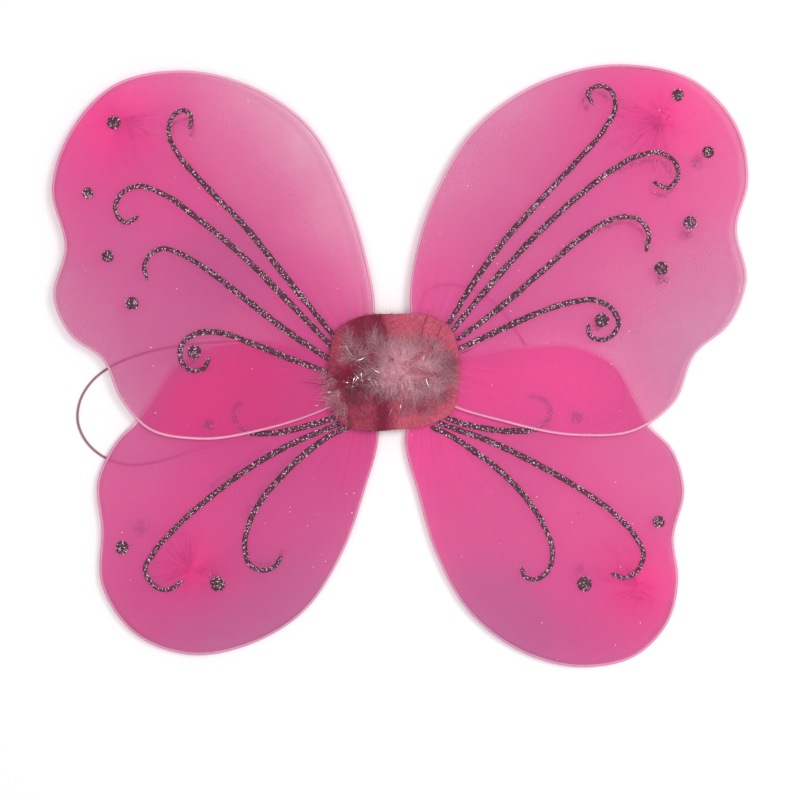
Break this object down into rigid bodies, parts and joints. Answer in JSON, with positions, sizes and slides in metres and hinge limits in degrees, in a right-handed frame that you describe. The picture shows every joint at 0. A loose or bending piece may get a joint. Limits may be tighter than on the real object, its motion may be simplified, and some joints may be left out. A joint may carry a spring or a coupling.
{
  "type": "fairy wings",
  "caption": "Child's dress-up wings: nylon stretched over wire loops with glitter-glue swirls, a felt centre with a feather puff, and elastic shoulder straps.",
  "frame": {"origin": "centre of the back pad's outer face, which lies on the surface and rests against the wearer's back in use", "axes": "+Z away from the wearer's back, out of the glitter side; +Y towards the wearer's head; +X along the wings' span, to the right when facing the glitter side"},
  "size_m": [0.4585, 0.3975, 0.0292],
  "materials": {
    "nylon": "sheer hot-pink stocking nylon, satin",
    "coated_wire": "pale pink coating, satin",
    "bare_wire": "cut wire ends",
    "glitter_glue": "clear glue with dense silver glitter",
    "felt_patch": "brushed felt, dusty rose",
    "felt_back": "felt, dusty rose",
    "feather": "marabou down, pale mauve-pink",
    "tinsel": "iridescent silver film",
    "elastic": "round braided elastic, mauve-pink",
    "stitched_tab": "close zigzag stitching",
    "thread": "polyester thread, pink",
    "binding_tape": "cloth tape, pale pink",
    "hot_glue": "milky hot-melt glue"
  },
  "bodies": {
    "root": {"back_pad": "felt_back", "glue_bed": "hot_glue", "binding_tape": "binding_tape", "wire_core": "bare_wire", "front_patch": "felt_patch", "feather_trim": "feather", "tinsel": "tinsel", "left_strap": "elastic", "right_strap": "elastic", "left_strap_tacks": "stitched_tab", "right_strap_tacks": "stitched_tab"},
    "left_upper_wing": {"left_upper_wire": "coated_wire", "left_upper_nylon": "nylon", "left_upper_gather_tie": "thread", "left_upper_dots": "glitter_glue", "left_upper_swirl_1": "glitter_glue", "left_upper_swirl_2": "glitter_glue", "left_upper_swirl_3": "glitter_glue", "left_upper_swirl_4": "glitter_glue"},
    "left_lower_wing": {"left_lower_wire": "coated_wire", "left_lower_nylon": "nylon", "left_lower_gather_tie": "thread", "left_lower_dots": "glitter_glue", "left_lower_swirl_1": "glitter_glue", "left_lower_swirl_2": "glitter_glue", "left_lower_swirl_3": "glitter_glue"},
    "right_upper_wing": {"right_upper_wire": "coated_wire", "right_upper_nylon": "nylon", "right_upper_gather_tie": "thread", "right_upper_dots": "glitter_glue", "right_upper_swirl_1": "glitter_glue", "right_upper_swirl_2": "glitter_glue", "right_upper_swirl_3": "glitter_glue", "right_upper_swirl_4": "glitter_glue"},
    "right_lower_wing": {"right_lower_wire": "coated_wire", "right_lower_nylon": "nylon", "right_lower_gather_tie": "thread", "right_lower_dots": "glitter_glue", "right_lower_swirl_1": "glitter_glue", "right_lower_swirl_2": "glitter_glue", "right_lower_swirl_3": "glitter_glue"}
  },
  "joints": [
    {"name": "left_upper_fold", "type": "hinge", "parent": "root", "child": "left_upper_wing", "pos_m": [-0.005, 0, 0.0092], "axis": [0, 1, 0], "range_deg": [0, 70], "deforming": ["front_patch", "feather_trim", "tinsel"]},
    {"name": "left_lower_fold", "type": "hinge", "parent": "root", "child": "left_lower_wing", "pos_m": [-0.005, 0, 0.0092], "axis": [0, 1, 0], "range_deg": [0, 52.5]},
    {"name": "right_upper_fold", "type": "hinge", "parent": "root", "child": "right_upper_wing", "pos_m": [0.005, 0, 0.0092], "axis": [0, -1, 0], "range_deg": [0, 70], "deforming": ["front_patch", "feather_trim", "tinsel"]},
    {"name": "right_lower_fold", "type": "hinge", "parent": "root", "child": "right_lower_wing", "pos_m": [0.005, 0, 0.0092], "axis": [0, -1, 0], "range_deg": [0, 52.5]}
  ],
  "couplings": [
    {"joint": "left_lower_fold", "follows": "left_upper_fold", "ratio": 0.75},
    {"joint": "right_lower_fold", "follows": "right_upper_fold", "ratio": 0.75}
  ]
}
